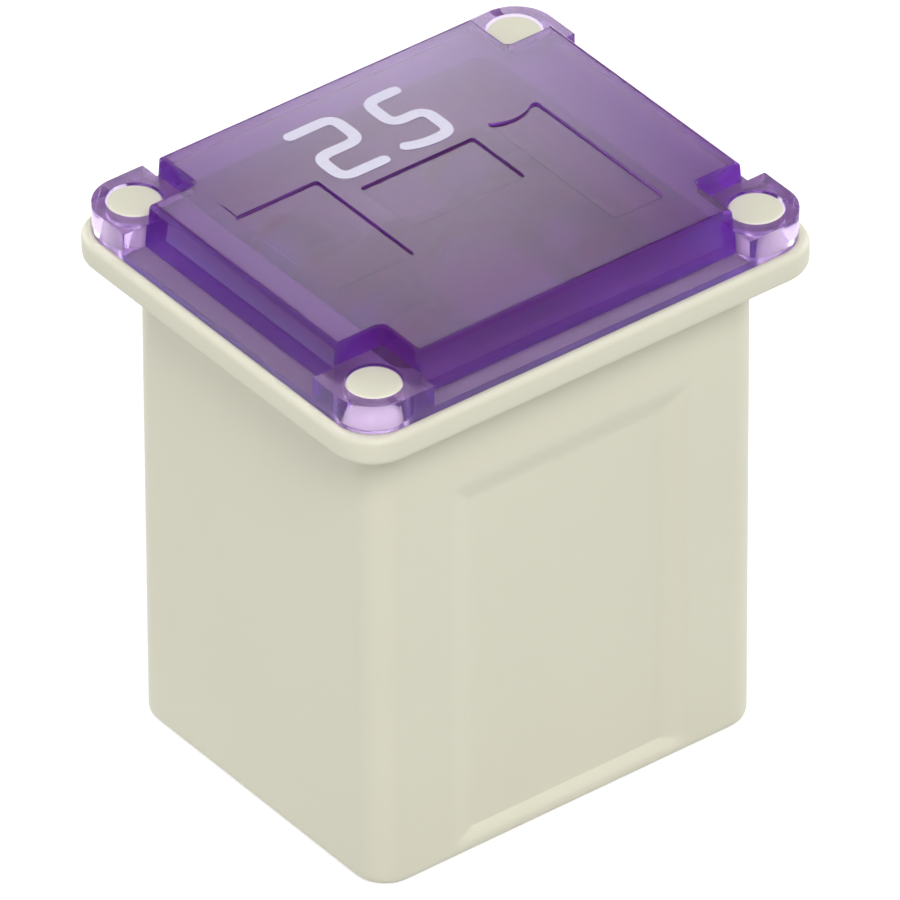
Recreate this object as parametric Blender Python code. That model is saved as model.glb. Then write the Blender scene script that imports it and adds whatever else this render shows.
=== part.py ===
"""Low-profile block fuse: a moulded housing with a hollow body, a clear tinted
lens held by four staked posts, a one-piece stamped fuse element with two female
contacts, and a steel spring clip on each contact.

Lengths are in metres. X runs along the long side, Y along the short side, +Z is
up, and the origin is the centre of the base.
"""
import math

import bmesh
import bpy
from mathutils import Matrix

# Housing body
BODY_LENGTH = 0.01258
BODY_WIDTH = 0.01045
BODY_HEIGHT = 0.01443
BODY_CORNER_RADIUS = 0.0010
BASE_EDGE_RADIUS = 0.00025
END_WALL = 0.0016
FLOOR_THICKNESS = 0.0010

# Flange round the top of the housing
FLANGE_OVERHANG_LENGTH = 0.00121
FLANGE_OVERHANG_WIDTH = 0.00111
FLANGE_THICKNESS = 0.00081
FLANGE_CORNER_RADIUS = 0.00127
FLANGE_EDGE_RADIUS = 0.00020

# Sunk panel on the front and back faces
PANEL_WIDTH = 0.0077
PANEL_TOP_MARGIN = 0.00258
PANEL_BASE_MARGIN = 0.0004
PANEL_DEPTH = 0.00022
PANEL_SLOPE = 0.00080
PANEL_CORNER_RADIUS = 0.00020

# Open space under the lens
RIM_LENGTH_WALL = 0.00128
RIM_WIDTH_WALL = 0.00047
RIM_CORNER_RADIUS = 0.0006

# Blade slots in the base
SLOT_WIDTH = 0.0020
SLOT_END_CLEARANCE = 0.00015
SLOT_CORNER_RADIUS = 0.00025
SLOT_LEAD_IN = 0.0004
SLOT_LEAD_SPREAD = 0.0004

# Posts that hold the lens
POST_DIAMETER = 0.00146
POST_EDGE_INSET_LENGTH = 0.00137
POST_EDGE_INSET_WIDTH = 0.00133
POST_HEAD_CROWN = 0.00005

# Lens
LENS_INSET = 0.00023
LEDGE_THICKNESS = 0.00022
LEDGE_WIDTH_ENDS = 0.00066
LEDGE_WIDTH_SIDES = 0.00055
PAD_HEIGHT = 0.00086
BLOCK_HEIGHT = 0.00152
BLOCK_DRAFT = 0.00010
BLOCK_EDGE_RADIUS = 0.00016
LENS_CORNER_RADIUS = 0.00114
PAD_REACH = 0.00107
NOTCH_MARGIN = 0.00005
NOTCH_CORNER_RADIUS = 0.00018
POCKET_DEPTH = 0.00010

# Moulded pockets in the top of the lens: centre x, centre y, length, width
LEFT_POCKET = (-0.00383, 0.00005, 0.00265, 0.00410)
WINDOW_POCKET = (-0.00003, 0.00006, 0.00366, 0.00220)
RIGHT_POCKET = (0.00324, -0.00125, 0.00162, 0.00530)
POCKET_CORNER_RADIUS = 0.00006
RELIEF_CENTRE = (0.00315, 0.00232)
RELIEF_RADIUS = 0.00115

# Stamped fuse element
SHEET = 0.00040
BLADE_WIDTH = 0.0063
CONTACT_SIDE_MARGIN = 0.00005
ROOT_GAP = 0.0013
CONTACT_GAP = 0.0006
CONTACT_HEIGHT = 0.0032
CONTACT_BOW = 0.0018
FINGER_SLIT = 0.00030
FINGER_LENGTH = 0.0065
LINK_WIDTH = 0.0020
LINK_NECK = 0.0008
LINK_NECK_LENGTH = 0.0010
LINK_ARCH = 0.00045
HEAD_ROOM = 0.00085

# Spring clips
CLIP_SHEET = 0.00025
CLIP_WIDTH = 0.0050
CLIP_WINDOW_MARGIN = 0.00030
CLIP_FOOT = 0.0009

# Fits between pieces
SEAT_GAP = 0.00003
POST_CLEARANCE = 0.00003
CHAMBER_CLEARANCE = 0.00030
CLIP_CLEARANCE = 0.00006

# Fineness of round stretches
CORNER_STEPS = 8
NOTCH_CORNER_STEPS = 4
POCKET_CORNER_STEPS = 2
EDGE_STEPS = 3
CROWN_STEPS = 4
POST_SIDES = 40
BEND_STEPS = 12
LEAF_STEPS = 22
LINK_STEPS = 24

# How far a cutter runs past the surface that it cuts, and a sloped cutter past its own
OVERCUT = 0.0005
SLOPED_OVERCUT = 0.00006

# Limits of the mesh work
SMALLEST_RADIUS = 0.00002
MERGE_DISTANCE = 0.000001
SHARP_ANGLE = math.radians(35)

# Sizes that follow from the ones above
flange_length = BODY_LENGTH + 2 * FLANGE_OVERHANG_LENGTH
flange_width = BODY_WIDTH + 2 * FLANGE_OVERHANG_WIDTH
flange_top = BODY_HEIGHT + FLANGE_THICKNESS
post_x = flange_length / 2 - POST_EDGE_INSET_LENGTH
post_y = flange_width / 2 - POST_EDGE_INSET_WIDTH
lens_base = flange_top + SEAT_GAP
lens_length = flange_length - 2 * LENS_INSET
lens_width = flange_width - 2 * LENS_INSET
ledge_top = lens_base + LEDGE_THICKNESS
pad_top = lens_base + PAD_HEIGHT
block_top = lens_base + BLOCK_HEIGHT
block_length = lens_length - 2 * LEDGE_WIDTH_ENDS
block_width = lens_width - 2 * LEDGE_WIDTH_SIDES
pad_x = post_x - PAD_REACH
pad_y = post_y - PAD_REACH
notch_x = pad_x - NOTCH_MARGIN
notch_y = pad_y - NOTCH_MARGIN
recess_length = BODY_LENGTH - 2 * RIM_LENGTH_WALL
recess_width = BODY_WIDTH - 2 * RIM_WIDTH_WALL
contact_width = BLADE_WIDTH + 2 * CONTACT_SIDE_MARGIN
contact_foot = FLOOR_THICKNESS + CHAMBER_CLEARANCE
contact_top = flange_top - HEAD_ROOM
bend_radius = ROOT_GAP / 2 + SHEET / 2
bend_height = contact_top - SHEET / 2 - bend_radius
recess_floor = contact_top - SHEET - SEAT_GAP
clip_offset = SHEET / 2 + CLIP_CLEARANCE + CLIP_SHEET / 2
chamber_length = ROOT_GAP + 2 * (SHEET + CLIP_CLEARANCE + CLIP_SHEET + CHAMBER_CLEARANCE)
chamber_width = contact_width + 2 * CHAMBER_CLEARANCE
contact_x = BODY_LENGTH / 2 - END_WALL - chamber_length / 2


def material(name, colour, roughness, metallic=0.0, alpha=1.0):
    """Make a plain Principled material for one piece."""
    made = bpy.data.materials.new(name)
    made.use_nodes = True
    shader = made.node_tree.nodes["Principled BSDF"]
    shader.inputs["Base Color"].default_value = (*colour, 1.0)
    shader.inputs["Roughness"].default_value = roughness
    shader.inputs["Metallic"].default_value = metallic
    shader.inputs["Alpha"].default_value = alpha
    return made


def add_object(name, mesh_data, surface=None):
    """Put a bmesh into the scene as an object."""
    bmesh.ops.recalc_face_normals(mesh_data, faces=mesh_data.faces)
    mesh = bpy.data.meshes.new(name)
    mesh_data.to_mesh(mesh)
    mesh_data.free()
    made = bpy.data.objects.new(name, mesh)
    bpy.context.scene.collection.objects.link(made)
    if surface is not None:
        mesh.materials.append(surface)
    return made


def rectangle(length, width, centre=(0.0, 0.0)):
    """Corners of a rectangle, anticlockwise from the lowest x and y."""
    cx, cy = centre
    return [(cx + sx * length / 2, cy + sy * width / 2)
            for sx, sy in ((-1, -1), (1, -1), (1, 1), (-1, 1))]


def rounded_outline(corners, radius, inset=0.0, steps=CORNER_STEPS):
    """Round the corners of a convex outline after moving its sides inwards.

    Each corner moves in along both sides by inset, and becomes an arc whose
    radius is the given one less the inset, so that outlines with different
    insets stay parallel.
    """
    arc = max(radius - inset, SMALLEST_RADIUS)
    points = []
    count = len(corners)
    for index, (x, y) in enumerate(corners):
        before = corners[index - 1]
        after = corners[(index + 1) % count]
        into = _direction(before, (x, y))
        out = _direction((x, y), after)
        reach = inset + arc
        centre_x = x - into[0] * reach + out[0] * reach
        centre_y = y - into[1] * reach + out[1] * reach
        start = math.atan2(-into[0], into[1])
        turn = math.pi / 2
        for step in range(steps + 1):
            angle = start + turn * step / steps
            points.append((centre_x + arc * math.cos(angle), centre_y + arc * math.sin(angle)))
    return points


def _direction(start, end):
    """Unit vector from one point to another."""
    dx, dy = end[0] - start[0], end[1] - start[1]
    size = math.hypot(dx, dy)
    return dx / size, dy / size


def loft(name, sections, surface=None):
    """Skin a stack of outlines, each given as its points and its height."""
    skin = bmesh.new()
    rings = [[skin.verts.new((x, y, height)) for x, y in points] for points, height in sections]
    for lower, upper in zip(rings, rings[1:]):
        count = len(lower)
        for index in range(count):
            following = (index + 1) % count
            skin.faces.new((lower[index], lower[following], upper[following], upper[index]))
    skin.faces.new(rings[0])
    skin.faces.new(rings[-1])
    return add_object(name, skin, surface)


def edge_rounding(radius, steps=EDGE_STEPS):
    """Insets and heights of a quarter round that starts at the full inset."""
    return [(radius * (1 - math.sin(math.pi / 2 * step / steps)),
             radius * (1 - math.cos(math.pi / 2 * step / steps))) for step in range(steps + 1)]


def combine(target, tool, operation):
    """Cut or join another shape, which stays in the scene as a hidden guide."""
    change = target.modifiers.new(tool.name, "BOOLEAN")
    change.operation = operation
    change.solver = "EXACT"
    change.object = tool
    tool.hide_render = True
    tool.display_type = "WIRE"


def smooth(piece):
    """Shade round stretches smooth and keep the real edges sharp."""
    piece.data.shade_smooth()
    piece.data.set_sharp_from_angle(angle=SHARP_ANGLE)


def post_places():
    """Centres of the four posts."""
    return [(sx * post_x, sy * post_y) for sx, sy in ((-1, -1), (1, -1), (1, 1), (-1, 1))]


def circle(centre, radius, sides=POST_SIDES):
    """Points of a circle, anticlockwise."""
    return [(centre[0] + radius * math.cos(2 * math.pi * index / sides),
             centre[1] + radius * math.sin(2 * math.pi * index / sides)) for index in range(sides)]


def housing_blank(surface):
    """Body and flange as one stack of outlines."""
    body = rectangle(BODY_LENGTH, BODY_WIDTH)
    flange = rectangle(flange_length, flange_width)
    sections = [(rounded_outline(body, BODY_CORNER_RADIUS, inset), height)
                for inset, height in edge_rounding(BASE_EDGE_RADIUS)]
    sections.append((rounded_outline(body, BODY_CORNER_RADIUS), BODY_HEIGHT))
    rounding = edge_rounding(FLANGE_EDGE_RADIUS)
    for inset, height in rounding:
        sections.append((rounded_outline(flange, FLANGE_CORNER_RADIUS, inset), BODY_HEIGHT + height))
    for inset, height in reversed(rounding):
        sections.append((rounded_outline(flange, FLANGE_CORNER_RADIUS, inset), flange_top - height))
    return loft("housing", sections, surface)


def post(index, centre):
    """A post whose staked head has a slight crown."""
    root = flange_top - FLANGE_THICKNESS / 2
    radius = POST_DIAMETER / 2
    sections = [(circle(centre, radius), root)]
    for step in range(CROWN_STEPS):
        angle = math.pi / 2 * step / CROWN_STEPS
        rise = POST_HEAD_CROWN * math.sin(angle)
        sections.append((circle(centre, radius * math.cos(angle)), pad_top - POST_HEAD_CROWN + rise))
    return loft(f"post_{index}", sections)


def panel_cutter(name, face_turn):
    """A shallow tray shape that stands off one wide face of the body."""
    base = PANEL_BASE_MARGIN
    top = BODY_HEIGHT - PANEL_TOP_MARGIN
    corners = rectangle(PANEL_WIDTH, top - base, (0.0, (top + base) / 2))
    face = BODY_WIDTH / 2
    steep = PANEL_SLOPE / PANEL_DEPTH
    sections = [(rounded_outline(corners, PANEL_CORNER_RADIUS + PANEL_SLOPE, PANEL_SLOPE),
                 face - PANEL_DEPTH),
                (rounded_outline(corners, PANEL_CORNER_RADIUS + PANEL_SLOPE), face),
                (rounded_outline(corners, PANEL_CORNER_RADIUS + PANEL_SLOPE, -SLOPED_OVERCUT * steep),
                 face + SLOPED_OVERCUT)]
    tray = loft(name, sections)
    upright = Matrix.Rotation(math.pi / 2, 4, "X")
    tray.data.transform(Matrix.Rotation(face_turn, 4, "Z") @ upright)
    return tray


def recess_cutter():
    """The open space under the lens."""
    corners = rectangle(recess_length, recess_width)
    outline = rounded_outline(corners, RIM_CORNER_RADIUS)
    return loft("recess", [(outline, recess_floor), (outline, flange_top + OVERCUT)])


def chamber_cutter(name, side):
    """The well that holds one contact."""
    corners = rectangle(chamber_length, chamber_width, (side * contact_x, 0.0))
    outline = rounded_outline(corners, CHAMBER_CLEARANCE)
    return loft(name, [(outline, FLOOR_THICKNESS), (outline, recess_floor + OVERCUT)])


def slot_cutter(name, side):
    """The blade slot in the base, flared at its mouth."""
    length = BLADE_WIDTH + 2 * SLOT_END_CLEARANCE
    corners = rectangle(SLOT_WIDTH, length, (side * contact_x, 0.0))
    steep = SLOT_LEAD_SPREAD / SLOT_LEAD_IN
    mouth = SLOT_LEAD_SPREAD + SLOPED_OVERCUT * steep
    sections = [(rounded_outline(corners, SLOT_CORNER_RADIUS, -mouth), -SLOPED_OVERCUT),
                (rounded_outline(corners, SLOT_CORNER_RADIUS), SLOT_LEAD_IN),
                (rounded_outline(corners, SLOT_CORNER_RADIUS), FLOOR_THICKNESS + OVERCUT)]
    return loft(name, sections)


def make_housing():
    """Body, flange, posts, sunk panels, wells and blade slots in one moulding."""
    surface = material("cream_polymer", (0.62, 0.60, 0.49), 0.45)
    housing = housing_blank(surface)
    for index, centre in enumerate(post_places()):
        combine(housing, post(index, centre), "UNION")
    combine(housing, panel_cutter("front_panel", 0.0), "DIFFERENCE")
    combine(housing, panel_cutter("back_panel", math.pi), "DIFFERENCE")
    combine(housing, recess_cutter(), "DIFFERENCE")
    for name, side in (("left", -1), ("right", 1)):
        combine(housing, chamber_cutter(f"{name}_chamber", side), "DIFFERENCE")
        combine(housing, slot_cutter(f"{name}_slot", side), "DIFFERENCE")
    smooth(housing)
    return housing


def ledge_cutter(name, run, reach, ledge_width, turn):
    """Clears the ledge along one side, between two pads.

    run is the clear length between the pads, and reach is the distance from the
    middle of the lens to the foot of the block's wall.
    """
    outer = reach + ledge_width + OVERCUT
    top_face = reach - BLOCK_DRAFT
    profile = [(outer, ledge_top), (reach, ledge_top)]
    for inset, drop in reversed(edge_rounding(BLOCK_EDGE_RADIUS)):
        profile.append((top_face - inset, block_top - drop))
    profile.append((top_face - BLOCK_EDGE_RADIUS, block_top + OVERCUT))
    profile.append((outer, block_top + OVERCUT))
    return extrude_profile(name, profile, run, turn)


def extrude_profile(name, profile, run, turn):
    """Carry a section in the X and Z plane along Y, then turn it about Z."""
    skin = bmesh.new()
    ends = [[skin.verts.new((x, y, z)) for x, z in profile] for y in (-run / 2, run / 2)]
    count = len(profile)
    for index in range(count):
        following = (index + 1) % count
        skin.faces.new((ends[0][index], ends[0][following], ends[1][following], ends[1][index]))
    skin.faces.new(ends[0])
    skin.faces.new(ends[1])
    bmesh.ops.transform(skin, matrix=Matrix.Rotation(turn, 4, "Z"), verts=skin.verts)
    return add_object(name, skin)


def notch_cutter(index, centre):
    """Clears the space over one pad, down to the pad's top face."""
    outer_x = lens_length / 2 + OVERCUT
    outer_y = lens_width / 2 + OVERCUT
    middle = (math.copysign((outer_x + notch_x) / 2, centre[0]),
              math.copysign((outer_y + notch_y) / 2, centre[1]))
    corners = rectangle(outer_x - notch_x, outer_y - notch_y, middle)
    outline = rounded_outline(corners, NOTCH_CORNER_RADIUS, steps=NOTCH_CORNER_STEPS)
    return loft(f"notch_{index}", [(outline, pad_top), (outline, block_top + OVERCUT)])


def pocket_cutter(name, place):
    """A shallow moulded pocket in the top face."""
    x, y, length, width = place
    corners = rectangle(length, width, (x, y))
    outline = rounded_outline(corners, POCKET_CORNER_RADIUS, steps=POCKET_CORNER_STEPS)
    return loft(name, [(outline, block_top - POCKET_DEPTH), (outline, block_top + OVERCUT)])


def right_pocket_cutter():
    """The right pocket, whose far inner corner is cut away by a round relief."""
    pocket = pocket_cutter("right_pocket", RIGHT_POCKET)
    relief_outline = circle(RELIEF_CENTRE, RELIEF_RADIUS)
    relief = loft("pocket_relief", [(relief_outline, pad_top), (relief_outline, block_top + 2 * OVERCUT)])
    combine(pocket, relief, "DIFFERENCE")
    return pocket


def lens_blank(surface):
    """A plate of the lens's outline and full height."""
    outline = rounded_outline(rectangle(lens_length, lens_width), LENS_CORNER_RADIUS)
    return loft("lens", [(outline, lens_base), (outline, block_top)], surface)


def make_lens():
    """Thin ledge, four pads and a notched solid block, with pockets in its top."""
    surface = material("violet_polycarbonate", (0.20, 0.09, 0.42), 0.08, alpha=0.6)
    lens = lens_blank(surface)
    ends = (2 * pad_y, block_length / 2, LEDGE_WIDTH_ENDS)
    sides = (2 * pad_x, block_width / 2, LEDGE_WIDTH_SIDES)
    for name, sizes, turn in (("right", ends, 0.0), ("back", sides, math.pi / 2),
                              ("left", ends, math.pi), ("front", sides, -math.pi / 2)):
        combine(lens, ledge_cutter(f"{name}_ledge", *sizes, turn), "DIFFERENCE")
    for index, centre in enumerate(post_places()):
        combine(lens, notch_cutter(index, centre), "DIFFERENCE")
        hole = circle(centre, POST_DIAMETER / 2 + POST_CLEARANCE)
        drill = loft(f"post_hole_{index}", [(hole, lens_base - OVERCUT), (hole, pad_top + OVERCUT)])
        combine(lens, drill, "DIFFERENCE")
    combine(lens, pocket_cutter("left_pocket", LEFT_POCKET), "DIFFERENCE")
    combine(lens, pocket_cutter("window_pocket", WINDOW_POCKET), "DIFFERENCE")
    combine(lens, right_pocket_cutter(), "DIFFERENCE")
    smooth(lens)
    return lens


def half_gap(height):
    """Half the gap between the two leaves of a contact at a height.

    The leaves bow in to the contact gap at the contact height, and the bow fades
    away as a bell curve above and below it.
    """
    away = (height - CONTACT_HEIGHT - contact_foot) / CONTACT_BOW
    return ROOT_GAP / 2 - (ROOT_GAP - CONTACT_GAP) / 2 * math.exp(-away * away)


def leaf(foot, top, offset):
    """Middle line of one leaf, as distance from the contact's centre and height."""
    heights = [foot + (top - foot) * step / LEAF_STEPS for step in range(LEAF_STEPS + 1)]
    return [(half_gap(height) + offset, height) for height in heights]


def bend(radius, start, end):
    """Points of the round bend at the top, by angle from the outer side."""
    steps = max(2, round(BEND_STEPS * abs(end - start) / math.pi))
    angles = [start + (end - start) * step / steps for step in range(1, steps + 1)]
    return [(radius * math.cos(angle), bend_height + radius * math.sin(angle)) for angle in angles]


def add_strip(skin, path, edges):
    """Add one strip of sheet, whose two edges may vary along the path."""
    rows = [[skin.verts.new((x, low, z)), skin.verts.new((x, high, z))]
            for (x, z), (low, high) in zip(path, edges)]
    for first, second in zip(rows, rows[1:]):
        skin.faces.new((first[0], first[1], second[1], second[0]))


def add_band(skin, path, low, high):
    """Add a strip of even width."""
    add_strip(skin, path, [(low, high)] * len(path))


def place(path, side):
    """Turn a path about a contact's centre into a path in the fuse's frame."""
    return [(side * (contact_x + x), z) for x, z in path]


def sheet_object(name, skin, thickness, surface):
    """Join the strips at their shared edges and give the sheet its thickness."""
    bmesh.ops.remove_doubles(skin, verts=skin.verts, dist=MERGE_DISTANCE)
    piece = add_object(name, skin, surface)
    wall = piece.modifiers.new("sheet", "SOLIDIFY")
    wall.thickness = thickness
    wall.offset = 0.0
    wall.use_even_offset = True
    piece.data.shade_smooth()
    return piece


def link_path():
    """Middle line of the link, from the right contact to the left, with its edges.

    The link rises in an arch and narrows to its neck, both as bell curves about
    the middle of the fuse. The neck's bell is rescaled to nothing at both ends,
    where the link takes the full width of the straps that it joins.
    """
    reach = contact_x
    height = contact_top - SHEET / 2
    tail = math.exp(-(reach / LINK_NECK_LENGTH) ** 2)
    path = []
    edges = []
    for step in range(LINK_STEPS + 1):
        x = reach * (1 - 2 * step / LINK_STEPS)
        rise = LINK_ARCH * 0.5 * (1 + math.cos(math.pi * x / reach))
        bell = (math.exp(-(x / LINK_NECK_LENGTH) ** 2) - tail) / (1 - tail)
        half = (LINK_WIDTH - (LINK_WIDTH - LINK_NECK) * bell) / 2
        path.append((x, height + rise))
        edges.append((-half, half))
    return path, edges


def make_element():
    """Two female contacts and the link between them, stamped from one sheet."""
    surface = material("tinned_copper_alloy", (0.55, 0.42, 0.32), 0.35, metallic=1.0)
    skin = bmesh.new()
    strap = LINK_WIDTH / 2
    finger = strap + FINGER_SLIT
    edge = contact_width / 2
    outer = leaf(contact_foot, bend_height, SHEET / 2)
    slit_top = contact_foot + FINGER_LENGTH
    web = [point for point in outer if point[1] >= slit_top]
    inner = [(-x, z) for x, z in reversed(outer)]
    over = bend(bend_radius, 0.0, math.pi)
    quarter = bend(bend_radius, 0.0, math.pi / 2)
    for side in (-1, 1):
        for low, high in ((-edge, -finger), (finger, edge)):
            hairpin = outer + over[:-1] + inner
            add_band(skin, place(hairpin, side), low, high)
        add_band(skin, place(outer + quarter, side), -strap, strap)
        for low, high in ((-finger, -strap), (strap, finger)):
            add_band(skin, place(web, side), low, high)
    path, edges = link_path()
    add_strip(skin, path, edges)
    return sheet_object("fuse_element", skin, SHEET, surface)


def make_clip(name, side):
    """A spring that wraps one contact and leaves a window for the link."""
    surface = material(name + "_steel", (0.50, 0.50, 0.52), 0.3, metallic=1.0)
    skin = bmesh.new()
    edge = CLIP_WIDTH / 2
    window = LINK_WIDTH / 2 + CLIP_WINDOW_MARGIN
    offset = SHEET / 2 + clip_offset
    outer = leaf(contact_foot + CLIP_FOOT, bend_height, offset)
    inner = [(-x, z) for x, z in reversed(outer)]
    radius = bend_radius + clip_offset
    over = bend(radius, 0.0, math.pi)
    hairpin = outer + over[:-1] + inner
    for low, high in ((-edge, -window), (window, edge)):
        add_band(skin, place(hairpin, side), low, high)
    tie_top = contact_foot + FINGER_LENGTH
    for wall in (outer, inner):
        tie = [point for point in wall if point[1] <= tie_top]
        add_band(skin, place(tie, side), -window, window)
    return sheet_object(name, skin, CLIP_SHEET, surface)


def clear_scene():
    """Remove whatever the file opened with."""
    for old in list(bpy.data.objects):
        bpy.data.objects.remove(old)


clear_scene()
make_housing()
make_lens()
make_element()
make_clip("left_clip", -1)
make_clip("right_clip", 1)
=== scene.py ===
# %% [markdown]
# # A block fuse, from its measured solids to a finished picture
#
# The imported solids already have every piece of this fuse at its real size: a cream housing, a
# violet lens, the stamped element and two spring clips. This lesson gives them their looks. The two
# outer pieces are made again as fine surfaces of the same form, because soft edges and clear
# plastic need many small faces. The metal inside keeps its solids and only gets new materials.

# %% Load the frame
import math

import bpy
import numpy as np
from mathutils import Matrix, Vector


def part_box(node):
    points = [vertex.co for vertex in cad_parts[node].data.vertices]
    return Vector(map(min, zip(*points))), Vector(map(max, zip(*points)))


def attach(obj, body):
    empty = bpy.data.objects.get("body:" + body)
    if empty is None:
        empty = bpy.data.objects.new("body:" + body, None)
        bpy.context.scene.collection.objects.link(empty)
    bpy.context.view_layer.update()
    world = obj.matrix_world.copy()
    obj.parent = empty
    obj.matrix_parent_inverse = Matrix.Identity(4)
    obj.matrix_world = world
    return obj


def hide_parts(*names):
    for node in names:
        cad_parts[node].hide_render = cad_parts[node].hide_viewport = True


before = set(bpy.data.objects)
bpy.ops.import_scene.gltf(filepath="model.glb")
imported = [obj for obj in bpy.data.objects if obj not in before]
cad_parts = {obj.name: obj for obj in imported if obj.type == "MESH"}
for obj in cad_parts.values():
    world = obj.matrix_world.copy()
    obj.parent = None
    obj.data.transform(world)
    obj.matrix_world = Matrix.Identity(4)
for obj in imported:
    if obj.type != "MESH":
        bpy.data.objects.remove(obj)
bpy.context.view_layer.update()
print("frame:", sorted(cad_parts))

# %% [markdown]
# ## Sizes
#
# A moulded part is drawn in millimetres, so the shapes below are worked out in millimetres and
# only turned into metres when they become a mesh. The overall sizes are read from the frame, and
# the printed numerals are the highest thing on it, by the thickness of their ink. The rest are the
# widths, radii and depths of the moulding.

# %% Sizes in millimetres
MM = 0.001
housing_high = np.array(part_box("housing")[1]) / MM
lens_low, lens_high = (np.array(corner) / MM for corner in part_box("lens"))
flange_half = housing_high[:2]
lens_half = lens_high[:2]
pad_top = housing_high[2]
lens_base = lens_low[2]
ink_gap, ink = 0.002, 0.012
block_top = lens_high[2] - ink_gap - ink

body_half = np.array((6.29, 5.225))
body_height = 14.43
body_radius = 1.0
base_edge = 0.25
flange_top = 15.24
flange_radius = 1.27
flange_edge = 0.20
post_place = np.array((6.13, 5.005))
post_radius = 0.73
print("flange", flange_half, "lens", lens_half, "levels", lens_base, pad_top, block_top)

# %% [markdown]
# ## Outlines and skins
#
# Nearly every part of this fuse is a stack of rounded rectangles. One function gives such an
# outline as an array of points, always with the same number of points, and another joins a stack
# of outlines with quads. Working on whole arrays keeps this fast with a hundred rings or more.
# The straight sides get points too, so that a wall can be pushed in where it needs to be.

# %% Outlines and skins
def rounded_outline(half, radius, along=(2, 2), arc=9, centre=(0.0, 0.0)):
    """Closed outline of a rounded rectangle, anticlockwise from its +X side.

    Each corner is a quarter circle about half size minus radius, mirrored into its quadrant.
    along gives the number of spaces on the long and the short straight sides.
    """
    angle = np.linspace(0.0, np.pi / 2, arc)
    arcs = []
    for quarter, (sx, sy) in enumerate(((1, 1), (-1, 1), (-1, -1), (1, -1))):
        turned = angle + quarter * np.pi / 2
        arcs.append(np.column_stack((sx * (half[0] - radius) + radius * np.cos(turned),
                                     sy * (half[1] - radius) + radius * np.sin(turned))))
    parts = []
    for quarter in range(4):
        spaces = along[quarter % 2]
        share = (np.arange(1, spaces) / spaces)[:, None]
        following = arcs[(quarter + 1) % 4][0]
        parts += [arcs[quarter], arcs[quarter][-1] * (1 - share) + following * share]
    return np.vstack(parts) + np.asarray(centre)


def at_height(outline, height):
    """Gives a flat outline its height."""
    return np.column_stack((outline, np.full(len(outline), float(height))))


def quarter_round(radius, steps=6):
    """Insets and rises of a rounded edge: radius times one minus the sine, and one minus the cosine."""
    angle = np.linspace(0.0, np.pi / 2, steps)
    return list(zip(radius * (1 - np.sin(angle)), radius * (1 - np.cos(angle))))


def add_mesh(name, points, faces):
    """Puts points in millimetres and their faces into a new piece at the origin."""
    mesh = bpy.data.meshes.new(name)
    mesh.from_pydata((np.asarray(points) * MM).tolist(), [], faces)
    piece = bpy.data.objects.new(name, mesh)
    bpy.context.scene.collection.objects.link(piece)
    return piece


def skin(name, rings):
    """Joins a stack of rings by quads and closes both ends with flat faces."""
    rings = np.asarray(rings)
    levels, count = rings.shape[:2]
    index = np.arange(levels * count).reshape(levels, count)
    low, high = index[:-1], index[1:]
    quads = np.stack((low, np.roll(low, -1, 1), np.roll(high, -1, 1), high), -1).reshape(-1, 4)
    ends = [index[0, ::-1].tolist(), index[-1].tolist()]
    return add_mesh(name, rings.reshape(-1, 3), quads.tolist() + ends)


def stack(name, levels, arc=9):
    """A closed solid from rows of half size, corner radius, centre and height."""
    return skin(name, [at_height(rounded_outline(half, radius, arc=arc, centre=centre), height)
                       for half, radius, centre, height in levels])


print("outline points:", len(rounded_outline(body_half, body_radius)))

# %% [markdown]
# ## Cutting, softening and shading
#
# Booleans, a bevel and weighted normals finish the skins. Each modifier is applied as soon as it is
# set, so that the mesh alone carries the shape, and the next step starts from plain faces. Shading
# matters as much as shape on clear plastic, because a normal that leans bends the light.

# %% Cutting, softening and shading
def apply_modifiers(piece):
    """Replaces a piece's mesh by what its modifiers make of it."""
    bpy.context.view_layer.update()
    evaluated = piece.evaluated_get(bpy.context.evaluated_depsgraph_get())
    made = bpy.data.meshes.new_from_object(evaluated)
    piece.modifiers.clear()
    piece.data = made


def combine(piece, tools, operation):
    """Cuts or joins a list of tool shapes, and deletes them."""
    for tool in tools:
        change = piece.modifiers.new(tool.name, "BOOLEAN")
        change.operation = operation
        change.solver = "EXACT"
        change.object = tool
    apply_modifiers(piece)
    for tool in tools:
        bpy.data.objects.remove(tool)


same_point = 0.0001


def soften(piece, width, segments=2, angle=50):
    """Rounds the edges sharper than the angle, by a width in millimetres, and welds doubles."""
    bevel = piece.modifiers.new("edge", "BEVEL")
    bevel.width = width * MM
    bevel.segments = segments
    bevel.limit_method = "ANGLE"
    bevel.angle_limit = math.radians(angle)
    weld = piece.modifiers.new("weld", "WELD")
    weld.merge_threshold = same_point * MM
    apply_modifiers(piece)


def shade(piece, angle=32):
    """Smooth shading that keeps real edges and lets large flats rule the normals."""
    piece.data.shade_smooth()
    piece.data.set_sharp_from_angle(angle=math.radians(angle))
    weigh = piece.modifiers.new("normals", "WEIGHTED_NORMAL")
    weigh.keep_sharp = True
    apply_modifiers(piece)


def keep_flat(piece, area):
    """Gives every corner of a face above this area, in square millimetres, that face's own normal."""
    mesh = piece.data
    corner, normal = np.zeros(len(mesh.loops) * 3), np.zeros(len(mesh.polygons) * 3)
    size, count = np.zeros(len(mesh.polygons)), np.zeros(len(mesh.polygons), int)
    mesh.corner_normals.foreach_get("vector", corner)
    mesh.polygons.foreach_get("normal", normal)
    mesh.polygons.foreach_get("area", size)
    mesh.polygons.foreach_get("loop_total", count)
    face = np.repeat(np.arange(len(size)), count)
    large = size[face] > area * MM ** 2
    mesh.normals_split_custom_set(np.where(large[:, None], normal.reshape(-1, 3)[face],
                                           corner.reshape(-1, 3)).tolist())


print("points closer than", same_point, "mm count as one")

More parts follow.
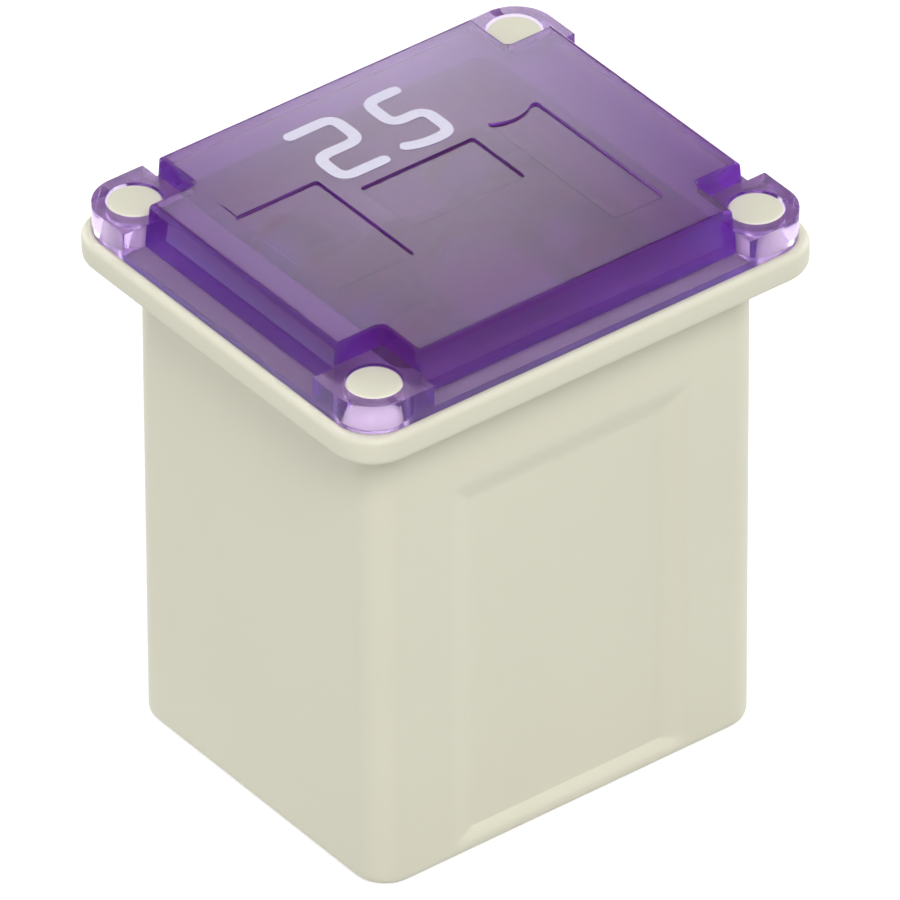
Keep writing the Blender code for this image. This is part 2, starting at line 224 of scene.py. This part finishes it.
# %% [markdown]
# ## The housing
#
# The real housing is one moulding, and its outside is a plain stack: a rounded base edge, the
# walls, a small fillet under the flange, and the flange's own rounded edge. The sunk panel on each
# wide face is only 0.2 mm deep with slopes 0.8 mm wide, and a short one at its foot, so it is easiest
# as a depth that depends on where a point of the wall is. Its slopes run out into the flats by a
# smooth step, as on a moulding, where the steel was polished.

# %% Housing walls with their sunk panels
panel_outer = 3.85
panel_low, panel_high = 0.4, 11.85
panel_depth = 0.22
panel_slope, foot_slope = 0.80, 0.25
under_fillet = 0.12
rim_half = np.array((5.01, 4.755))
rim_radius = 0.6
rim_edge = 0.06
recess_floor = 13.96
wall_rings = 140
on_face = 1e-6
fine = {"along": (100, 16), "arc": 13}


def panel_sink(x, z):
    """Depth of the panel: none at its border, full past the slope, half straight and half eased."""
    reach = np.minimum(panel_outer - np.abs(x), panel_high - z) / panel_slope
    share = np.clip(np.minimum(reach, (z - panel_low) / foot_slope), 0.0, 1.0)
    eased = share * share * (3 - 2 * share)
    return panel_depth * (share + eased) / 2


def body_ring(height):
    """One ring of the walls, pushed in where it crosses a panel."""
    ring = at_height(rounded_outline(body_half, body_radius, **fine), height)
    wide = np.abs(ring[:, 1]) > body_half[1] - on_face
    ring[:, 1] -= np.sign(ring[:, 1]) * panel_sink(ring[:, 0], height) * wide
    return ring


def housing_rings():
    """Rings up the outside, over the flange and down into the space under the lens."""
    rows = [(body_half - inset, body_radius - inset, rise) for inset, rise in quarter_round(base_edge)]
    rings = [at_height(rounded_outline(half, radius, **fine), height) for half, radius, height in rows]
    rings += [body_ring(height)
              for height in np.linspace(base_edge, body_height - under_fillet, wall_rings)[1:]]
    edge = quarter_round(flange_edge)
    rows = [(body_half + rise, body_radius, body_height - inset)
            for inset, rise in quarter_round(under_fillet, 5)[1:]]
    rows += [(flange_half - inset, flange_radius - inset, body_height + rise) for inset, rise in edge]
    rows += [(flange_half - inset, flange_radius - inset, flange_top - rise)
             for inset, rise in edge[::-1]]
    rows += [(rim_half + inset, rim_radius + inset, flange_top - rise)
             for inset, rise in quarter_round(rim_edge, 4)]
    rows.append((rim_half, rim_radius, recess_floor))
    return rings + [at_height(rounded_outline(half, radius, **fine), height)
                    for half, radius, height in rows]


housing = skin("housing_skin", housing_rings())
print("housing:", len(housing.data.polygons), "faces")

# %% [markdown]
# ## Wells, slots and posts
#
# Each contact stands in a well, and a flared slot in the base lets the blade in. The four posts are
# part of the same moulding: they pass through the lens, and their heads were staked, which leaves
# a flat disc with a soft edge. These shapes cross the housing's rings, so they are cut and joined
# with Booleans, each from its own small stack of outlines.

# %% Wells, slots and posts
contact_x = 3.03
well_half = np.array((1.66, 3.5))
well_radius = 0.3
floor_level = 1.0
slot_half = np.array((1.0, 3.3))
slot_radius = 0.25
slot_lead = 0.4
past = 0.5
past_slope = 0.06
head_shoulder = 0.10
head_crown = 0.02
turn = np.linspace(0.0, 2 * np.pi, 64, endpoint=False)


def post_rings(centre):
    """A turned post: radius against height, with a rounded shoulder and a nearly flat head."""
    shoulder = pad_top - head_crown
    profile = [(post_radius, flange_top - past), (post_radius, shoulder - head_shoulder)]
    profile += [(post_radius - inset, shoulder - rise)
                for inset, rise in quarter_round(head_shoulder)[::-1][1:]]
    profile += [(post_radius / 2, pad_top - head_crown / 4), (post_radius / 10, pad_top)]
    return [np.column_stack((centre[0] + r * np.cos(turn), centre[1] + r * np.sin(turn),
                             np.full(len(turn), z))) for r, z in profile]


wells = []
for name, side in (("left", -1), ("right", 1)):
    centre = (side * contact_x, 0.0)
    spread = slot_lead + past_slope
    wells.append(stack(name + "_well", [(well_half, well_radius, centre, floor_level),
                                        (well_half, well_radius, centre, recess_floor + past)]))
    wells.append(stack(name + "_slot", [(slot_half + spread, slot_radius + spread, centre, -past_slope),
                                        (slot_half, slot_radius, centre, slot_lead),
                                        (slot_half, slot_radius, centre, floor_level + past)]))
combine(housing, wells, "DIFFERENCE")
combine(housing, [skin(f"post_{sx}_{sy}", post_rings(post_place * (sx, sy)))
                  for sx in (-1, 1) for sy in (-1, 1)], "UNION")
shade(housing)
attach(housing, "root")
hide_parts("housing")
print("housing with wells and posts:", len(housing.data.polygons), "faces")

# %% [markdown]
# ## The lens
#
# The lens is one clear moulding: a thin ledge, four pads round the posts and a raised block with a
# square notch over each pad. Light bends at every one of its faces, so it has to be one closed
# skin. It starts as a full plate and is cut back, and each cutter carries the rounding that it
# leaves in its own section.

# %% Lens plate, ledges and notches
lens_radius = 1.14
ledge_thickness = 0.22
ledge_width = np.array((0.66, 0.55))
pad_reach, notch_gap = 1.07, 0.05
ledge_top = lens_base + ledge_thickness
block_half = lens_half - ledge_width
block_draft = 0.10
block_edge = 0.16
pad_half = post_place - pad_reach
notch_half = pad_half - notch_gap
notch_radius = 0.18
notch_edge = 0.08
bar_depth = 1.5


def ledge_bar(name, run, reach, way):
    """Ledge cutter: one section carried along a side of the lens.

    The section runs in along the ledge, up the drafted wall, round the block's top edge and out.
    """
    section = [(reach + bar_depth, ledge_top), (reach, ledge_top)]
    section += [(reach - block_draft - inset, block_top - drop)
                for inset, drop in quarter_round(block_edge, 7)[::-1]]
    section += [(reach - block_draft - block_edge, block_top + past),
                (reach + bar_depth, block_top + past)]
    flat = np.array(section)
    across = np.stack([flat[:, 0]] * 2)
    along = np.array((-run, run))[:, None] * np.ones(len(flat))
    cosine, sine = round(math.cos(way)), round(math.sin(way))
    rings = np.stack((cosine * across - sine * along, sine * across + cosine * along,
                      np.stack([flat[:, 1]] * 2)), -1)
    return skin(name, rings)


def notch_block(name, sides):
    """Notch cutter over one pad, flared at its top by a quarter round that rounds the block's edge."""
    outer = lens_half + past
    flares = [(0.0, pad_top)]
    flares += [(inset, block_top - drop) for inset, drop in quarter_round(notch_edge)[::-1]]
    flares.append((notch_edge, block_top + past))
    return stack(name, [((outer - notch_half + flare) / 2, notch_radius + flare,
                         (outer + notch_half - flare) / 2 * sides, height) for flare, height in flares])


def drill(name, centre, radius, low, high):
    """A plain round cutter."""
    circle = np.column_stack((centre[0] + radius * np.cos(turn), centre[1] + radius * np.sin(turn)))
    return skin(name, [at_height(circle, low), at_height(circle, high)])


corners = [np.array((sx, sy)) for sx in (-1, 1) for sy in (-1, 1)]
lens = stack("lens_skin", [(lens_half, lens_radius, (0, 0), lens_base),
                           (lens_half, lens_radius, (0, 0), block_top)], arc=25)
combine(lens, [ledge_bar("right", pad_half[1], block_half[0], 0.0),
               ledge_bar("back", pad_half[0], block_half[1], math.pi / 2),
               ledge_bar("left", pad_half[1], block_half[0], math.pi),
               ledge_bar("front", pad_half[0], block_half[1], -math.pi / 2)], "DIFFERENCE")
combine(lens, [notch_block(f"notch_{i}", sides) for i, sides in enumerate(corners)], "DIFFERENCE")
print("lens after ledges and notches:", len(lens.data.polygons), "faces")

# %% [markdown]
# ## Holes and pockets of the lens
#
# The posts pass through a hole in each pad. The top has three pockets less than a tenth of a
# millimetre deep, and the right one is cut back round a circle. Last, a fine bevel rounds every
# edge that is still sharp, because a moulded edge always shows a thin line of light. The large
# faces keep their exact normals, since a clear plate shows even a slight bend in them.

# %% Holes and pockets
post_play = 0.03
hole_radius = post_radius + post_play
pocket_depth = 0.07
pocket_radius = 0.10
pockets = {"left": ((-3.83, 0.05), (1.325, 2.05)), "window": ((-0.03, 0.06), (1.83, 1.10)),
           "right": ((3.24, -1.25), (0.81, 2.65))}
relief_centre, relief_radius = (3.15, 2.32), 1.15
lens_edge = 0.035
large_face = 0.5

combine(lens, [drill(f"hole_{i}", post_place * sides, hole_radius, lens_base - past, pad_top + past)
               for i, sides in enumerate(corners)], "DIFFERENCE")
cutters = [stack(name + "_pocket", [(np.array(half), pocket_radius, centre, block_top - pocket_depth),
                                    (np.array(half), pocket_radius, centre, block_top + past)], arc=4)
           for name, (centre, half) in pockets.items()]
combine(cutters[-1], [drill("relief", relief_centre, relief_radius, pad_top, block_top + 2 * past)],
        "DIFFERENCE")
combine(lens, cutters, "DIFFERENCE")
soften(lens, lens_edge)
shade(lens)
keep_flat(lens, large_face)
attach(lens, "root")
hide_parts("lens")
print("lens:", len(lens.data.polygons), "faces")

# %% [markdown]
# ## The printed number
#
# The rating is two plain numerals printed in white ink. Each is one stroke of even width along a
# path with rounded corners, so it is a ribbon: the path is worked out first, and its two edges lie
# half a stroke to either side. Printed strokes end round, so the ribbon closes in at both ends.

# %% Printed numerals
stroke = 0.35
bend = 0.38
two = [(-1.90, 4.03), (-0.54, 4.04), (-0.54, 2.86), (-1.92, 2.86), (-1.92, 1.76), (-0.62, 1.76)]
five = [(1.47, 4.02), (0.53, 4.02), (0.53, 2.88), (1.54, 2.88), (1.54, 1.70), (0.60, 1.70),
        (0.20, 1.88)]


def rounded_path(points, radius, steps=9):
    """A path whose inner corners are quadratic curves that leave and meet the straights at radius."""
    points = np.array(points)
    made = [points[:1]]
    t = np.linspace(0.0, 1.0, steps)[:, None]
    for before, corner, after in zip(points, points[1:], points[2:]):
        start = corner + (before - corner) / np.linalg.norm(before - corner) * radius
        end = corner + (after - corner) / np.linalg.norm(after - corner) * radius
        made.append((1 - t) ** 2 * start + 2 * t * (1 - t) * corner + t ** 2 * end)
    return np.vstack(made + [points[-1:]])


def round_ended(path, width, steps=7):
    """The path drawn out at both ends, with the half width there.

    Past an end the path runs on by the sine of an angle while the half width falls as its cosine.
    """
    swing = np.linspace(0.0, 0.45 * np.pi, steps)[1:]
    leave = [(end - beside) / np.linalg.norm(end - beside) for end, beside in (path[:2], path[:-3:-1])]
    first, last = (end + np.sin(swing)[:, None] * width / 2 * way
                   for end, way in zip((path[0], path[-1]), leave))
    fall = np.cos(swing) * width / 2
    return (np.vstack((first[::-1], path, last)),
            np.concatenate((fall[::-1], np.full(len(path), width / 2), fall)))


def ribbon(name, path, width, height):
    """A flat strip along a path: each edge is the path moved by the half width along its normal."""
    path, half = round_ended(path, width)
    ahead = np.gradient(path, axis=0)
    normal = np.column_stack((-ahead[:, 1], ahead[:, 0])) / np.linalg.norm(ahead, axis=1)[:, None]
    edges = np.stack((path + normal * half[:, None], path - normal * half[:, None]), 1)
    index = np.arange(len(path) * 2).reshape(-1, 2)
    quads = np.stack((index[:-1, 0], index[:-1, 1], index[1:, 1], index[1:, 0]), -1)
    piece = add_mesh(name, at_height(edges.reshape(-1, 2), height), quads.tolist())
    film = piece.modifiers.new("film", "SOLIDIFY")
    film.thickness = ink * MM
    film.offset = 1.0
    apply_modifiers(piece)
    return piece


digits = [ribbon(name, rounded_path(points, bend), stroke, block_top + ink_gap)
          for name, points in (("numeral_two", two), ("numeral_five", five))]
for digit in digits:
    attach(digit, "root")
print("numerals:", [len(digit.data.polygons) for digit in digits])

# %% [markdown]
# ## Materials
#
# Colours are written as the sRGB hex values that a painter would pick, and one function turns them
# to the linear values that a shader mixes. One small function adds any node with its settings and
# links, which keeps each material short enough to read at a glance.

# %% Material tools
def linear(code):
    """sRGB hex to linear: below 0.04045 a straight line, above it a power of 2.4."""
    value = np.array([int(code[i:i + 2], 16) for i in (1, 3, 5)]) / 255
    return (*np.where(value <= 0.04045, value / 12.92, ((value + 0.055) / 1.055) ** 2.4), 1.0)


def node(tree, kind, settings=(), **links):
    """Adds a node. settings fills sockets and properties, and links joins sockets by name."""
    made = tree.nodes.new(kind)
    for key, value in dict(settings).items():
        if key in made.inputs:
            made.inputs[key].default_value = value
        else:
            setattr(made, key, value)
    for key, source in links.items():
        tree.links.new(source, made.inputs[key.replace("_", " ")])
    return made


def blank(name):
    """A new material with only its output node."""
    made = bpy.data.materials.new(name)
    made.use_nodes = True
    made.node_tree.nodes.clear()
    return made, made.node_tree, made.node_tree.nodes.new("ShaderNodeOutputMaterial")


def give(piece, made):
    """Makes this the piece's only material."""
    piece.data.materials.clear()
    piece.data.materials.append(made)


# %% [markdown]
# ## Cream housing plastic
#
# The housing is a glass-filled engineering plastic, moulded in fine spark-eroded steel. To the eye
# that is a soft, almost even cream: a broad dull sheen, a very fine grain, and a colour that
# drifts a little over the face. The grain's real pitch is under a tenth of a millimetre.

# %% Housing plastic
def moulded_cream_plastic():
    """Even cream with a slight drift in tone, and a fine eroded grain as bump."""
    made, tree, out = blank("moulded_cream_plastic")
    place = node(tree, "ShaderNodeTexCoord").outputs["Object"]
    drift = node(tree, "ShaderNodeTexNoise", {"Scale": 180.0, "Detail": 2.0}, Vector=place)
    tone = node(tree, "ShaderNodeMix", {"data_type": "RGBA"}, Factor=drift.outputs["Fac"])
    tone.inputs[6].default_value = linear("#DAD8C4")
    tone.inputs[7].default_value = linear("#DEDCC8")
    grain = node(tree, "ShaderNodeTexNoise", {"Scale": 9000.0, "Detail": 3.0}, Vector=place)
    bump = node(tree, "ShaderNodeBump", {"Strength": 0.12, "Distance": 0.00002},
                Height=grain.outputs["Fac"])
    shader = node(tree, "ShaderNodeBsdfPrincipled", {"Roughness": 0.48, "IOR": 1.55},
                  Base_Color=tone.outputs[2], Normal=bump.outputs["Normal"])
    tree.links.new(shader.outputs[0], out.inputs["Surface"])
    return made


give(housing, moulded_cream_plastic())

# %% [markdown]
# ## Violet lens plastic
#
# The lens is clear polycarbonate with a violet dye. Two things make its look: the dye darkens the
# light by the length of its way through, so the walls, seen along their length, go deep violet, and
# the outside is polished. Its Specular Tint is turned down, so that the pale room doesn't lie on it
# as a veil. The dye is a volume that absorbs, with its colour and density set on the node itself.
# The underside came off a matte core, so it blurs what lies below and adds a little milk. That milk
# is lavender over the pale flange and goes over to a darker, warm mauve above the recess: painted
# shade, standing in for the dim recess seen through it.

# %% Lens plastic
dye_per_mm = np.array((0.17, 0.36, 0.09))


def dyed_polycarbonate(name, roughness, clear):
    """Clear plastic whose dye absorbs along the way through. clear is the share that isn't milky."""
    made, tree, out = blank(name)
    shader = node(tree, "ShaderNodeBsdfPrincipled",
                  {"Base Color": linear("#EEE8FF"), "Roughness": roughness, "IOR": 1.585,
                   "Transmission Weight": clear, "Specular Tint": (0.2, 0.2, 0.2, 1.0)})
    dye = node(tree, "ShaderNodeVolumeAbsorption",
               {"Color": (*(1 - dye_per_mm / dye_per_mm.max()), 1.0), "Density": dye_per_mm.max() / MM})
    tree.links.new(shader.outputs[0], out.inputs["Surface"])
    tree.links.new(dye.outputs[0], out.inputs["Volume"])
    return made, tree, shader


# Painted shade over the recess fades in between these distances past its rim, in millimetres.
recess_shade_fade = (-1.2, 0.3)


def painted_shade_over_recess(tree):
    """Share of painted shade: none over the flange and one over the recess, by the greater of x and y
    past its rim.
    """
    place = node(tree, "ShaderNodeTexCoord").outputs["Object"]
    apart = node(tree, "ShaderNodeSeparateXYZ", Vector=place)
    past_rim = []
    for axis, half in zip("XY", rim_half):
        size = node(tree, "ShaderNodeMath", {"operation": "ABSOLUTE"})
        tree.links.new(apart.outputs[axis], size.inputs[0])
        beyond = node(tree, "ShaderNodeMath", {"operation": "SUBTRACT"})
        tree.links.new(size.outputs[0], beyond.inputs[0])
        beyond.inputs[1].default_value = half * MM
        past_rim.append(beyond.outputs[0])
    greater = node(tree, "ShaderNodeMath", {"operation": "MAXIMUM"})
    for source, socket in zip(past_rim, greater.inputs):
        tree.links.new(source, socket)
    return node(tree, "ShaderNodeMapRange",
                {"interpolation_type": "SMOOTHSTEP", "From Min": recess_shade_fade[1] * MM,
                 "From Max": recess_shade_fade[0] * MM}, Value=greater.outputs[0]).outputs["Result"]


polished, _, _ = dyed_polycarbonate("dyed_polycarbonate_polished", 0.05, 1.0)
matte, tree, shader = dyed_polycarbonate("dyed_polycarbonate_matte_painted_shade", 0.25, 0.82)
# Painted shade: the milk colour goes from lavender over the flange to a darker mauve over the recess.
milk_and_painted_shade = node(tree, "ShaderNodeMix", {"data_type": "RGBA"}, Factor=painted_shade_over_recess(tree))
milk_and_painted_shade.inputs[6].default_value = linear("#F6ECFF")
milk_and_painted_shade.inputs[7].default_value = linear("#FCC2E4")
tree.links.new(milk_and_painted_shade.outputs[2], shader.inputs["Base Color"])
give(lens, polished)
lens.data.materials.append(matte)
facing = np.zeros(len(lens.data.polygons) * 3)
lens.data.polygons.foreach_get("normal", facing)
underside = facing[2::3] < -0.9
lens.data.polygons.foreach_set("material_index", underside.astype(int))
print("matte underside faces:", int(underside.sum()))

# %% [markdown]
# ## Ink and metals
#
# The ink is a thin, slightly chalky white that lets a little violet through. The element is tinned
# copper alloy, dull and faintly brown, and its clips are rolled spring steel, whose grain runs up
# the strip. Both lie under the lens and are seen blurred.

# %% Ink and metals
def printed_white_ink():
    """Chalky white with a breath of violet."""
    made, tree, out = blank("printed_white_ink")
    place = node(tree, "ShaderNodeTexCoord").outputs["Object"]
    chalk = node(tree, "ShaderNodeTexNoise", {"Scale": 4000.0, "Detail": 2.0}, Vector=place)
    tone = node(tree, "ShaderNodeMix", {"data_type": "RGBA"}, Factor=chalk.outputs["Fac"])
    tone.inputs[6].default_value = linear("#D2CFE2")
    tone.inputs[7].default_value = linear("#DCD9EA")
    shader = node(tree, "ShaderNodeBsdfPrincipled", {"Roughness": 0.6}, Base_Color=tone.outputs[2])
    tree.links.new(shader.outputs[0], out.inputs["Surface"])
    return made


def stamped_metal(name, first, second, roughness, along):
    """Metal with a fine rolled grain: noise stretched along one direction, in tone and in bump."""
    made, tree, out = blank(name)
    place = node(tree, "ShaderNodeTexCoord").outputs["Object"]
    stretch = node(tree, "ShaderNodeMapping", {"Scale": along}, Vector=place)
    grain = node(tree, "ShaderNodeTexNoise", {"Scale": 1500.0, "Detail": 4.0},
                 Vector=stretch.outputs[0])
    tone = node(tree, "ShaderNodeMix", {"data_type": "RGBA"}, Factor=grain.outputs["Fac"])
    tone.inputs[6].default_value = linear(first)
    tone.inputs[7].default_value = linear(second)
    bump = node(tree, "ShaderNodeBump", {"Strength": 0.2, "Distance": 0.00001},
                Height=grain.outputs["Fac"])
    shader = node(tree, "ShaderNodeBsdfPrincipled", {"Roughness": roughness, "Metallic": 1.0},
                  Base_Color=tone.outputs[2], Normal=bump.outputs["Normal"])
    tree.links.new(shader.outputs[0], out.inputs["Surface"])
    return made


for digit in digits:
    give(digit, printed_white_ink())
give(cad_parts["fuse_element"],
     stamped_metal("tinned_copper_alloy", "#B9957C", "#CDAE97", 0.38, (1.0, 6.0, 1.0)))
spring = stamped_metal("rolled_spring_steel", "#A8A8AC", "#C2C2C6", 0.30, (6.0, 6.0, 1.0))
for name in ("left_clip", "right_clip"):
    give(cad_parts[name], spring)
print("materials:", sorted(made.name for made in bpy.data.materials if made.users))

# %% [markdown]
# ## Floor and background
#
# The photograph stands on a white sweep. The floor here is pale paper and keeps the shadow, a
# fiftieth of a millimetre below the base, so that the two planes don't fight. Rays from the camera,
# and rays that leave glass or a gloss, see the floor and the room lifted to white, and the light on
# the object stays as it is.

# %% Floor and background
square = np.array([(-1, -1), (1, -1), (1, 1), (-1, 1)])
floor_half, floor_drop = 600.0, 0.02
floor_lift = 0.60
floor = add_mesh("floor", at_height(square * floor_half, -floor_drop), [[0, 1, 2, 3]])


def lifted(tree):
    """One for rays that see the background: camera, glossy and transmission rays."""
    path = node(tree, "ShaderNodeLightPath")
    both = node(tree, "ShaderNodeMath", {"operation": "MAXIMUM"})
    tree.links.new(path.outputs["Is Camera Ray"], both.inputs[0])
    tree.links.new(path.outputs["Is Glossy Ray"], both.inputs[1])
    every = node(tree, "ShaderNodeMath", {"operation": "MAXIMUM"})
    tree.links.new(both.outputs[0], every.inputs[0])
    tree.links.new(path.outputs["Is Transmission Ray"], every.inputs[1])
    return every.outputs[0]


def pale_floor():
    """Pale paper that keeps the shadow, lifted to white for the rays that see the background."""
    made, tree, out = blank("pale_floor")
    paper = node(tree, "ShaderNodeBsdfDiffuse", {"Color": linear("#D0D0D0")})
    lift = node(tree, "ShaderNodeEmission", {"Color": linear("#FFFFFF")})
    share = node(tree, "ShaderNodeMath", {"operation": "MULTIPLY"})
    tree.links.new(lifted(tree), share.inputs[0])
    share.inputs[1].default_value = floor_lift
    tree.links.new(share.outputs[0], lift.inputs["Strength"])
    both = node(tree, "ShaderNodeAddShader")
    tree.links.new(paper.outputs[0], both.inputs[0])
    tree.links.new(lift.outputs[0], both.inputs[1])
    tree.links.new(both.outputs[0], out.inputs["Surface"])
    return made


give(floor, pale_floor())
print("floor:", 2 * floor_half, "mm wide")

# %% [markdown]
# ## Light
#
# The photograph has a soft key light high in front. The light here is a plain white dome at about a
# third of full strength, with soft lamps: the key in front, which gives the sunk panel its relief
# and the flange its shadow, and weaker ones at the left, the right, the back and overhead, so that
# no side falls dark. A small one behind with a grid is mirrored by the flat top of the lens as its
# haze. A grey card stands behind that lamp, as a photographer sets one, and keeps clear plastic
# from looking empty.

# %% Dome
world = bpy.data.worlds.new("room")
world.use_nodes = True
bpy.context.scene.world = world
room = world.node_tree
room.nodes.clear()
room_light = 0.35
strength = node(room, "ShaderNodeMix", {"data_type": "FLOAT"}, Factor=lifted(room))
strength.inputs[2].default_value = room_light
strength.inputs[3].default_value = 1.0
dome = node(room, "ShaderNodeBackground", {"Color": linear("#FFFFFF")}, Strength=strength.outputs[0])
room.links.new(dome.outputs[0], node(room, "ShaderNodeOutputWorld").inputs["Surface"])
print("room light", room_light)

# %% Lamps and card
middle = Vector((0.0, 0.0, 0.008))


def soft_lamp(name, place, size, power, aim=middle, spread=180):
    """A square lamp that faces the middle of the fuse or its aim. A grid narrows its spread."""
    lamp = bpy.data.lights.new(name, "AREA")
    lamp.size = size
    lamp.energy = power
    lamp.spread = math.radians(spread)
    made = bpy.data.objects.new(name, lamp)
    bpy.context.scene.collection.objects.link(made)
    made.location = place
    made.rotation_euler = (Vector(aim) - Vector(place)).to_track_quat("-Z", "Y").to_euler()
    return made


def grey_card(place, size, colour):
    """A square card that faces the middle of the fuse, and that only glass and gloss see."""
    away = (Vector(place) - middle).normalized()
    across = Vector((0, 0, 1)).cross(away).normalized()
    sides = np.array((across, away.cross(across)))
    card = add_mesh("grey_card", (np.array(place) + square @ sides * size / 2) / MM, [[0, 1, 2, 3]])
    made, tree, out = blank("grey_card")
    tree.links.new(node(tree, "ShaderNodeBsdfDiffuse", {"Color": linear(colour)}).outputs[0],
                   out.inputs["Surface"])
    give(card, made)
    card.visible_camera = card.visible_diffuse = card.visible_shadow = False


soft_lamp("front_softbox", (-0.152, -0.298, 0.380), 0.16, 1.40)
soft_lamp("left_softbox", (-0.40, 0.06, 0.25), 0.20, 0.22)
soft_lamp("overhead_softbox", (0.05, 0.12, 0.45), 0.24, 0.36)
soft_lamp("right_softbox", (0.43, -0.04, 0.10), 0.20, 0.66)
soft_lamp("back_softbox", (-0.10, 0.43, 0.09), 0.20, 0.66)
soft_lamp("rear_softbox", (0.2570, 0.3436, 0.3152), 0.08, 2.85e-5,
          aim=(-0.0028, 0.0036, 0.0168), spread=2.5)
grey_card((0.281, 0.366, 0.355), 0.80, "#202020")
print("lamps:", sorted(lamp.name for lamp in bpy.data.lights))

# %% [markdown]
# ## Camera
#
# The photograph was fitted with a long lens from far away: the edges of the fuse stay nearly
# parallel. The camera stands on a sphere round a point inside the fuse, looks at that point, and is
# then turned by a hair so that the fuse falls where the photograph has it.

# %% Camera
azimuth, elevation = math.radians(-37.5566), math.radians(36.1356)
distance = 0.484362
focal_pixels = 18821.9
target_shift = (-3.6137, 11.0654)
roll = math.radians(-0.27206)
picture = 900

back = Vector((math.sin(azimuth) * math.cos(elevation), -math.cos(azimuth) * math.cos(elevation),
               math.sin(elevation)))
right = Vector((0, 0, 1)).cross(back).normalized()
up = back.cross(right)
pan = math.atan2(target_shift[0], focal_pixels)
tilt = math.atan2(target_shift[1], focal_pixels)
panned = right * math.cos(pan) - back * math.sin(pan)
depth = -(right * math.sin(pan) + back * math.cos(pan))
raised = up * math.cos(tilt) - depth * math.sin(tilt)
depth = up * math.sin(tilt) + depth * math.cos(tilt)
axis_x = panned * math.cos(roll) + raised * math.sin(roll)
axis_y = raised * math.cos(roll) - panned * math.sin(roll)

lens_data = bpy.data.cameras.new("camera")
lens_data.sensor_width = 36.0
lens_data.lens = focal_pixels * lens_data.sensor_width / picture
lens_data.clip_start, lens_data.clip_end = 0.01, 10.0
camera = bpy.data.objects.new("camera", lens_data)
bpy.context.scene.collection.objects.link(camera)
turned = Matrix((axis_x, axis_y, -depth)).transposed().to_4x4()
camera.matrix_world = Matrix.Translation(middle + back * distance) @ turned
bpy.context.scene.camera = camera
print("camera", [round(c, 4) for c in camera.location], "lens", round(lens_data.lens, 1))

# %% [markdown]
# ## Finish
#
# The view transform is Standard, so that a colour renders as it is written. Light that crosses the
# lens passes several faces and is mirrored inside it, so the bounces go up, and Filter Glossy is
# off, because it would blur that light away.

# %% Finish
scene = bpy.context.scene
scene.view_settings.view_transform = "Standard"
scene.cycles.max_bounces = 16
scene.cycles.transmission_bounces = 14
scene.cycles.glossy_bounces = 14
scene.cycles.diffuse_bounces = 6
scene.cycles.blur_glossy = 0.0
scene.cycles.transparent_max_bounces = 8
